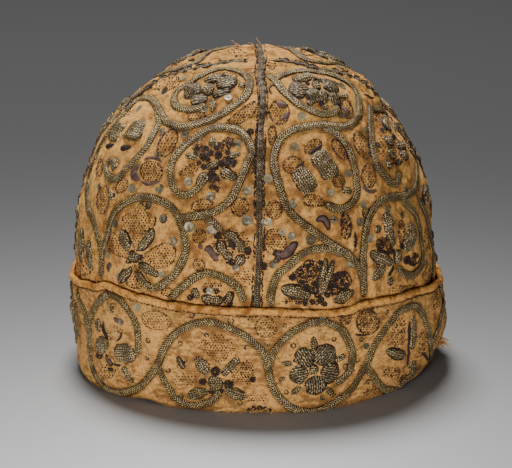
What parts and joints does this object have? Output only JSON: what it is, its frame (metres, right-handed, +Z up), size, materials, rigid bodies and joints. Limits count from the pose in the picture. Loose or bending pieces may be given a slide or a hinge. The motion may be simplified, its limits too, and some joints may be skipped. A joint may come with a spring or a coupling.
{
  "type": "embroidered mens cap",
  "caption": "Domed linen man's cap of gores with braided seams, a turned-up cuff and coiling metal-thread embroidery.",
  "frame": {"origin": "middle of the cap's outline on the surface that it stands on", "axes": "+Z up through the crown, -Y towards the front seam, +X towards the right in a front view"},
  "size_m": [0.2014, 0.1956, 0.1713],
  "materials": {
    "linen": "matt unbleached linen, aged to ochre",
    "cuff_linen": "matt unbleached linen, aged to ochre",
    "seam_braid": "tarnished metal-thread braid",
    "metal_thread": "plaited and padded metal thread, tarnished to grey-gold",
    "dark_silk": "black-brown silk stitches",
    "brown_silk": "worn brown silk padding",
    "spangle": "dulled silver-gilt spangles"
  },
  "bodies": {
    "root": {"gore_front_right": "linen", "gore_back_right": "linen", "gore_back_left": "linen", "gore_front_left": "linen", "cuff": "cuff_linen", "seam_braid_front_to_back": "seam_braid", "seam_braid_right": "seam_braid", "seam_braid_left": "seam_braid"}
  },
  "joints": []
}
